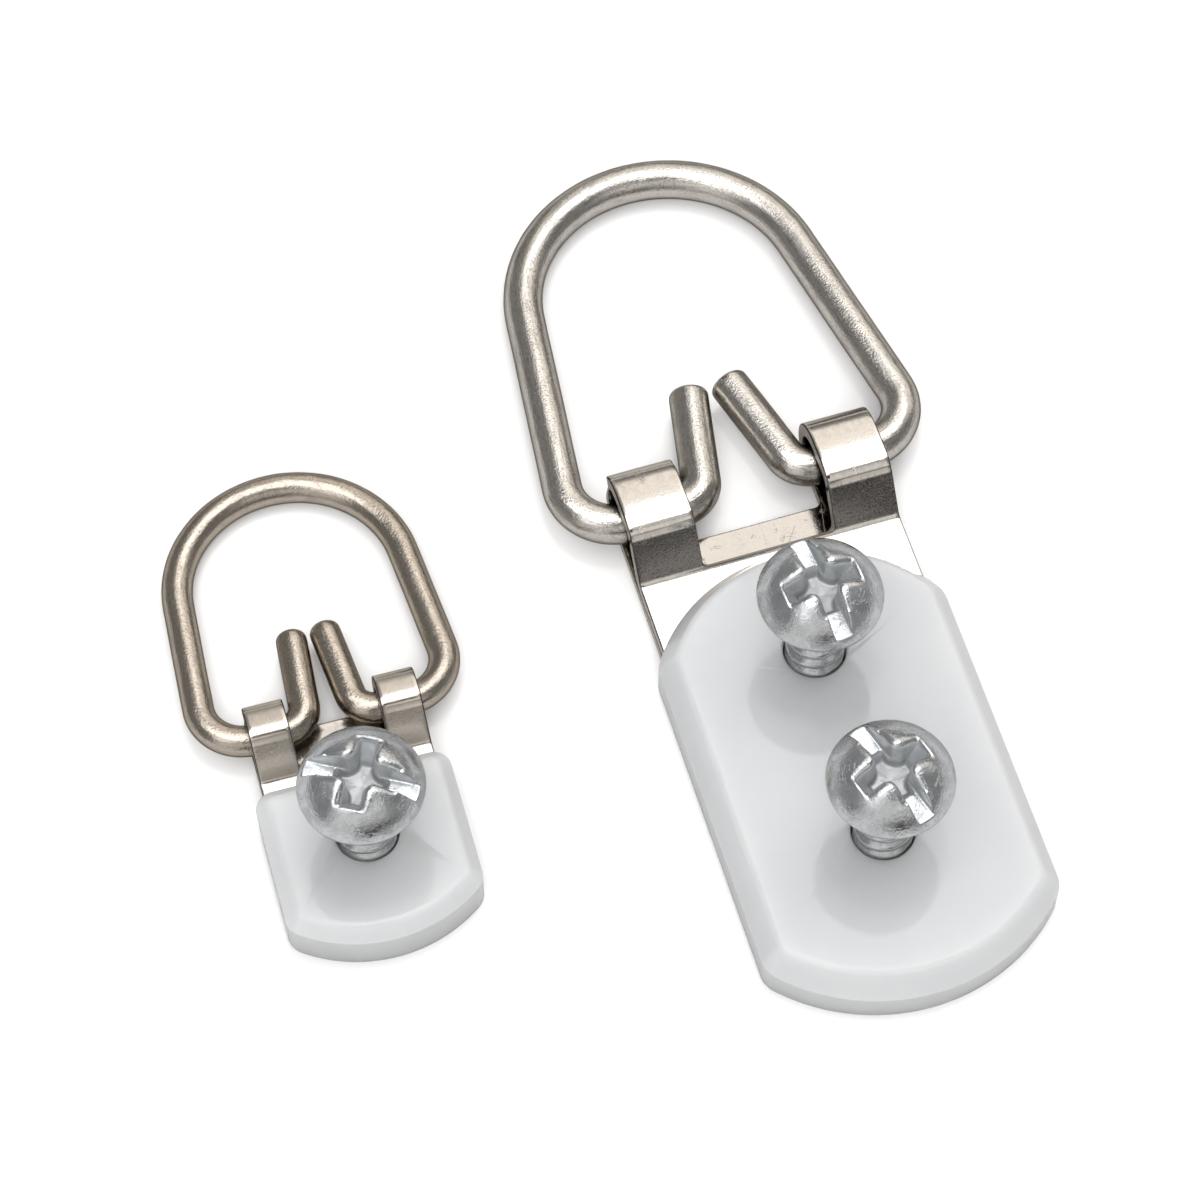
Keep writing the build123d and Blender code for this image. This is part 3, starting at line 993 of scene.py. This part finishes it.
def strap_material(colours, name, bright, drawn):
    """Bright nickel on stamped sheet: dull dark steel with a coarse grain on the slopes, as far as
    they were drawn, faint scratches, a few pits, a plainer inner side, pale sheared sides and dark
    edges. It reads the attributes that make_strap() writes."""
    material, tree, shader = new_material(name)
    bright, dull = rgb(bright), rgb(colours.strap_dull)
    along = attribute(tree, "straight", "Vector")
    worked = add(tree, "SeparateXYZ", {0: attribute(tree, "worked", "Vector")})
    side, bend = worked["X"], worked["Y"]
    grain = use("Fine grain", along, Grain_size=0.15, Ripple_size=1.4, Ripple=0.12)
    pits = use("Pits and specks", along, Spacing=0.8, Pit_size=0.12, Amount=0.3)["Mask"]
    lines = use("Scratches", along, Spacing=0.7, Amount=0.32)["Mask"]
    clouds = use("Mottle", along, Patch_size=0.5, Contrast=0.4, First=bright, Second=dull)
    sloping = spread(bend, 0.75, 0.98)
    sheared = spread(maths("ABSOLUTE", side), 0.995, 0.88)
    base = mix(spread(side, 0.2, -0.2), clouds["Color"], rgb(colours.strap_inside))
    # painted dark reflection on the slopes, stronger as far as they were drawn
    base = mix(sloping * (0.9 * drawn), base, rgb(colours.strap_slope))
    base = mix(sheared, base, rgb(colours.strap_side))
    # painted dark line along the rolled edges
    base = mix(attribute(tree, "rolled"), base, rgb(colours.strap_edge))
    grained = spread(bend, 0.6, 1.0, 0.05, 0.05 + 0.75 * drawn)
    base = mix(grain["Specks"] * grained, base, rgb(colours.strap_edge))
    smooth = 0.15 - 0.08 * drawn
    rough = spread(clouds["Share"], 0.0, 1.0, smooth, smooth + 0.06) + bend * 0.08
    height = grain["Height"] * (0.4 + sloping * (0.3 + 1.7 * drawn))
    feed(shader, {
        "Base Color": mix(pits * 0.6, base, rgb(colours.dirt)),
        "Roughness": rough + sheared * 0.2,
        "Metallic": 1.0 - sheared * 0.6,
        "Specular Tint": (0.45, 0.42, 0.38, 1),
        "Normal": bumped(height - pits * 1.2 - lines * 0.5, 0.011)})
    return material


def zinc_material(colours):
    """Zinc plating on a formed screw: mottled, pitted, scratched, nearly satin, duller in the recesses."""
    material, tree, shader = new_material("zinc_screw")
    bright, dull = rgb(colours.zinc), rgb(colours.zinc_dull)
    place = in_space(tree)
    grain = use("Fine grain", place, Grain_size=0.17, Ripple_size=0.7, Ripple=0.8)
    pits = use("Pits and specks", place, Spacing=0.45, Pit_size=0.17, Amount=0.3)["Mask"]
    lines = use("Scratches", place, Spacing=0.45, Amount=0.45)["Mask"]
    clouds = use("Mottle", place, Patch_size=0.9, Contrast=0.35, First=bright, Second=dull)
    depth = attribute(tree, "sunk")
    walls = spread(depth, 0.15, 0.4) * spread(facing_up(tree), 0.85, 0.5)
    # painted shade at the bottom of the cross recess, where the zinc is also duller
    bottom = spread(depth, 1.8, 2.1)
    sunk = maths("MAXIMUM", walls, bottom)
    base = mix(grain["Specks"] * 0.4, clouds["Color"], dull)
    base = mix(pits * 0.5, base, rgb(colours.dirt))
    feed(shader, {
        "Base Color": mix(bottom * 0.95, base, rgb(colours.zinc_deep)),
        "Roughness": spread(clouds["Share"], 0.0, 1.0, 0.16, 0.28) + sunk * 0.12,
        "Metallic": spread(clouds["Share"], 0.0, 1.0, 1.0, 0.9) - sunk * 0.4,
        "Specular Tint": grey(0.5),
        "Normal": bumped(grain["Height"] - pits * 1.2 - lines * 0.5, 0.016)})
    return material


def painted_shade_in_mirror(base, level):
    """The base, but plain grey of this level where the metal mirrors it."""
    return mix(add(base.tree, "LightPath")["Is Glossy Ray"], base, grey(level))


def cover_material(colours):
    """Milky glossy plastic: light goes into it, its gloss is broken by faint flow marks and scuffs.
    The metal mirrors the side of it that lies in shade, so it is darker there."""
    material, tree, shader = new_material("milky_cover")
    milky, cloudy = rgb(colours.cover), rgb(colours.cover_deep)
    place = in_space(tree)
    grain = use("Fine grain", place, Grain_size=0.35, Ripple_size=5.0, Ripple=3.0)
    lines = use("Scratches", place, Spacing=1.3, Amount=0.3)["Mask"]
    specks = use("Pits and specks", place, Spacing=2.4, Pit_size=0.04, Amount=0.35)["Mask"]
    clouds = use("Mottle", place, Patch_size=7.0, Contrast=0.2, First=milky, Second=cloudy)
    # painted shade: the upright walls are painted darker than the face
    upright = spread(facing_up(tree), 0.45, 0.1)
    base = mix(upright, clouds["Color"], rgb(colours.cover_wall))
    feed(shader, {
        # painted shade: the cover is plain grey where the metal mirrors it
        "Base Color": painted_shade_in_mirror(mix(specks * 0.25, base, rgb(colours.dirt)), 0.5),
        "Roughness": spread(clouds["Share"], 0.0, 1.0, 0.05, 0.08) + lines * 0.15,
        "IOR": 1.5,
        "Subsurface Weight": 0.8,
        "Subsurface Radius": (1.0, 0.95, 0.9),
        "Subsurface Scale": 4 * MILLIMETRE,
        "Normal": bumped(grain["Height"] - lines * 0.3, 0.0025)})
    return material


def floor_material(colours):
    """White paper with the faintest tooth, greyer in the metal's mirror as the paper is there in shade."""
    material, tree, shader = new_material("paper_floor")
    grain = use("Fine grain", in_space(tree), Grain_size=0.6, Ripple_size=30.0, Ripple=0.3)
    base = mix(spread(grain["Ripples"], 0.3, 0.7, 0.0, 0.02), rgb(colours.floor), grey(0.8))
    feed(shader, {
        # painted shade: the paper is plain grey where the metal mirrors it
        "Base Color": painted_shade_in_mirror(base, 0.6),
        "Roughness": spread(grain["Ripples"], 0.3, 0.7, 0.75, 0.8),
        "Specular IOR Level": 0.1,
        "Normal": bumped(grain["Height"], 0.004)})
    return material


def studio_light():
    """White softbox overhead with a dark opening beside it for the lens, and a small window behind
    the camera, on the walls of a grey studio: a pale backdrop beyond and a brighter room behind.
    Directions are read as places on a flat ceiling: across to the camera's right, along away from it."""
    world = bpy.data.worlds.new("studio")
    world.use_nodes = True
    tree = world.node_tree
    direction = add(tree, "TexCoord")["Generated"]

    def towards(way):
        return add(tree, "VectorMath", {0: direction, 1: way}, operation="DOT_PRODUCT")["Value"]

    right, away = towards((0.9548, -0.2974, 0.0)), towards((0.2974, 0.9548, 0.0))
    up = add(tree, "SeparateXYZ", {0: direction})["Z"]
    safe_up = maths("MAXIMUM", up, 0.01)
    across, along = right / safe_up, away / safe_up

    def disc(x, y, outer, inner):
        """One inside a round spot on the ceiling, zero outside it."""
        offset = add(tree, "CombineXYZ", {"X": across - x, "Y": along - y})[0]
        distance = add(tree, "VectorMath", {0: offset}, operation="LENGTH")["Value"]
        return spread(distance, outer, inner)

    # the softbox hangs askew
    flat = add(tree, "CombineXYZ", {"X": across, "Y": along})[0]
    place = add(tree, "SeparateXYZ", {0: turned(flat, radians(-36), rotation_type="Z_AXIS")})
    softbox, soft = None, 0.035
    for axis, low, high in (("X", -0.65, 0.85), ("Y", -0.27, 0.52)):
        for edge, into in ((low, soft), (high, -soft)):
            side = spread(place[axis], edge - into, edge + into)
            softbox = softbox * side if softbox else side

    # walls by compass direction
    level = maths("SQRT", 1.001 - up * up)
    backdrop = spread((right * 0.42 + away * 0.91) / level, 0.66, 0.88)
    behind = spread(away / level, -0.5, -0.8)
    walls = mix(backdrop, (0.24, 0.237, 0.235, 1), (1.12, 1.06, 0.99, 1))
    dim = spread(right, -0.25, 0.3) * spread(up, 0.6, 0.42)
    walls = mix(behind, walls, mix(dim, (0.8, 0.79, 0.77, 1), (0.5, 0.48, 0.45, 1)))
    # it is darkest near the table, behind and at the backdrop's foot, and where the lens looks down
    table_edge = behind * spread(up, 0.36, 0.24) * spread(right, -0.35, 0.05)
    foot = backdrop * spread(up, 0.44, 0.2, 0.0, 0.88)
    shade = maths("MAXIMUM", maths("MAXIMUM", table_edge, foot), disc(0.08, -0.53, 0.29, 0.18))
    lit = mix(shade, walls, (0.03, 0.029, 0.028, 1))
    lit = mix(disc(-0.72, -0.72, 0.34, 0.2), lit, grey(1.9))
    lit = mix(softbox, lit, grey(2.5))
    lit = mix(spread(up, -0.02, 0.02), grey(0.5), lit)
    seen = add(tree, "LightPath")["Is Camera Ray"]
    feed(tree.nodes["Background"], {"Color": mix(seen, lit, grey(0.96))})
    bpy.context.scene.world = world


def hang_light(name, kind, place, energy, **settings):
    """A weak light that points at the origin and doesn't show in the metal."""
    light = bpy.data.objects.new(name, bpy.data.lights.new(name, kind))
    bpy.context.scene.collection.objects.link(light)
    light.data.energy = energy
    for setting, value in settings.items():
        setattr(light.data, setting, value)
    light.location = place
    light.rotation_euler = Vector(place).to_track_quat("Z", "Y").to_euler()
    light.visible_glossy = False


# Operators

class HANGER_OT_rings(bpy.types.Operator):
    """Bend the wire of both D rings and lay them in their loops"""

    bl_idname = "hanger.rings"
    bl_label = "Rings"

    def execute(self, context):
        scene = context.scene
        colours = scene.finish_colours
        nickel = {"large": wire_material(colours, "nickel_wire", colours.wire),
                  "small": wire_material(colours, "nickel_wire_small", colours.small_wire)}
        for name, s, place, _ in hangers(scene):
            ring = name + "_ring"
            made = make_ring(ring + "_wire", s)
            set_down(made, place @ ring_place(s), ring, ring, nickel[name], 70)
        return {"FINISHED"}


class HANGER_OT_straps(bpy.types.Operator):
    """Stamp and fold the steel straps"""

    bl_idname = "hanger.straps"
    bl_label = "Straps"

    def execute(self, context):
        scene = context.scene
        colours = scene.finish_colours
        # the last number is how far the slopes were drawn, which sets their coarse grain and their painted
        # dark reflection
        nickel = {"large": strap_material(colours, "nickel_strap", colours.strap, 1.0),
                  "small": strap_material(colours, "nickel_strap_small", colours.small_strap, 0.15)}
        for name, s, place, holes in hangers(scene):
            made = make_strap(name + "_strap_sheet", s, holes, millimetres(scene.hanger_screw).hole / 2)
            set_down(made, place, name + "_plate", name + "_strap", nickel[name], 40)
        return {"FINISHED"}


class HANGER_OT_covers(bpy.types.Operator):
    """Mould the plastic covers"""

    bl_idname = "hanger.covers"
    bl_label = "Covers"

    def execute(self, context):
        scene = context.scene
        plastic = cover_material(scene.finish_colours)
        for name, s, place, holes in hangers(scene):
            made = make_cover(name + "_cover_shell", s, holes, millimetres(scene.hanger_screw).cover_hole / 2)
            set_down(made, place, name + "_plate", name + "_cover", plastic, 50)
        return {"FINISHED"}


class HANGER_OT_screws(bpy.types.Operator):
    """Form the three screws and stand them in their holes"""

    bl_idname = "hanger.screws"
    bl_label = "Screws"

    def execute(self, context):
        scene = context.scene
        zinc = zinc_material(scene.finish_colours)
        screw = millimetres(scene.hanger_screw)
        head = make_head(screw)
        for node, slot_angle, reach_down in (
                ("large_upper_screw", screw.upper_slot, screw.large_length),
                ("large_lower_screw", screw.lower_slot, screw.large_length),
                ("small_screw", screw.small_slot + scene.small_hanger.turn, screw.small_length)):
            place = Matrix.Translation((*box_middle(node), reach_down)) @ Matrix.Rotation(slot_angle, 4, "Z")
            made = make_screw(node + "_metal", screw, head, reach_down)
            set_down(made, place, node, node, zinc, 60)
        bpy.data.objects.remove(head)
        return {"FINISHED"}


class HANGER_OT_stage(bpy.types.Operator):
    """Lay the white floor, hang the studio light and set up the camera"""

    bl_idname = "hanger.stage"
    bl_label = "Stage"

    def execute(self, context):
        scene = context.scene
        bm = bmesh.new()
        bmesh.ops.create_grid(bm, x_segments=8, y_segments=8, size=1.5)
        floor = to_object(bm, "paper_floor")
        # a hair below the hangers, so that their backs don't meet it
        floor.location = (0, 0, -0.03 * MILLIMETRE)
        floor.data.materials.append(floor_material(scene.finish_colours))
        studio_light()
        # a card beside the camera, and a lamp high up for the crisp shadows of the heads on the covers
        hang_light("fill_card", "AREA", (-0.17, -0.54, 0.72), 3.5, size=0.5)
        hang_light("high_lamp", "SUN", (0.05, 0.21, 1.0), 0.28, angle=radians(2.5))
        camera = bpy.data.objects.new("camera", bpy.data.cameras.new("camera"))
        scene.collection.objects.link(camera)
        camera.location = (-0.04633, -0.0971, 0.22479)
        camera.rotation_euler = (radians(27.75), 0, radians(-17.3))
        camera.data.lens = 118.87
        camera.data.sensor_width = 36
        camera.data.clip_start = 0.01
        scene.camera = camera
        scene.view_settings.view_transform = "Standard"
        return {"FINISHED"}


class HANGER_PT_build(bpy.types.Panel):
    """Lists the pieces and their sizes"""

    bl_idname = "HANGER_PT_build"
    bl_label = "D ring picture hangers"
    bl_space_type = "VIEW_3D"
    bl_region_type = "UI"
    bl_category = "Hangers"

    def draw(self, context):
        layout = self.layout
        for operator in OPERATORS:
            layout.operator(operator.bl_idname)
        for group in GROUPS:
            column = layout.column(align=True)
            column.label(text=group.replace("_", " ").capitalize())
            owner = getattr(context.scene, group)
            for field in owner.bl_rna.properties:
                if field.identifier not in ("rna_type", "name"):
                    column.prop(owner, field.identifier)


OPERATORS = (HANGER_OT_rings, HANGER_OT_straps, HANGER_OT_covers, HANGER_OT_screws, HANGER_OT_stage)
GROUPS = {"large_hanger": LargeHangerSizes, "small_hanger": SmallHangerSizes, "hanger_screw": ScrewSizes,
          "finish_colours": FinishColours}


def register():
    for name, group in GROUPS.items():
        bpy.utils.register_class(group)
        setattr(bpy.types.Scene, name, bpy.props.PointerProperty(type=group))
    for owner in (*OPERATORS, HANGER_PT_build):
        bpy.utils.register_class(owner)


def unregister():
    for owner in (HANGER_PT_build, *reversed(OPERATORS)):
        bpy.utils.unregister_class(owner)
    for name, group in GROUPS.items():
        delattr(bpy.types.Scene, name)
        bpy.utils.unregister_class(group)


def main():
    register()
    bpy.ops.hanger.stage()
    bpy.ops.hanger.rings()
    bpy.ops.hanger.straps()
    bpy.ops.hanger.covers()
    bpy.ops.hanger.screws()


if __name__ == "__main__":
    main()
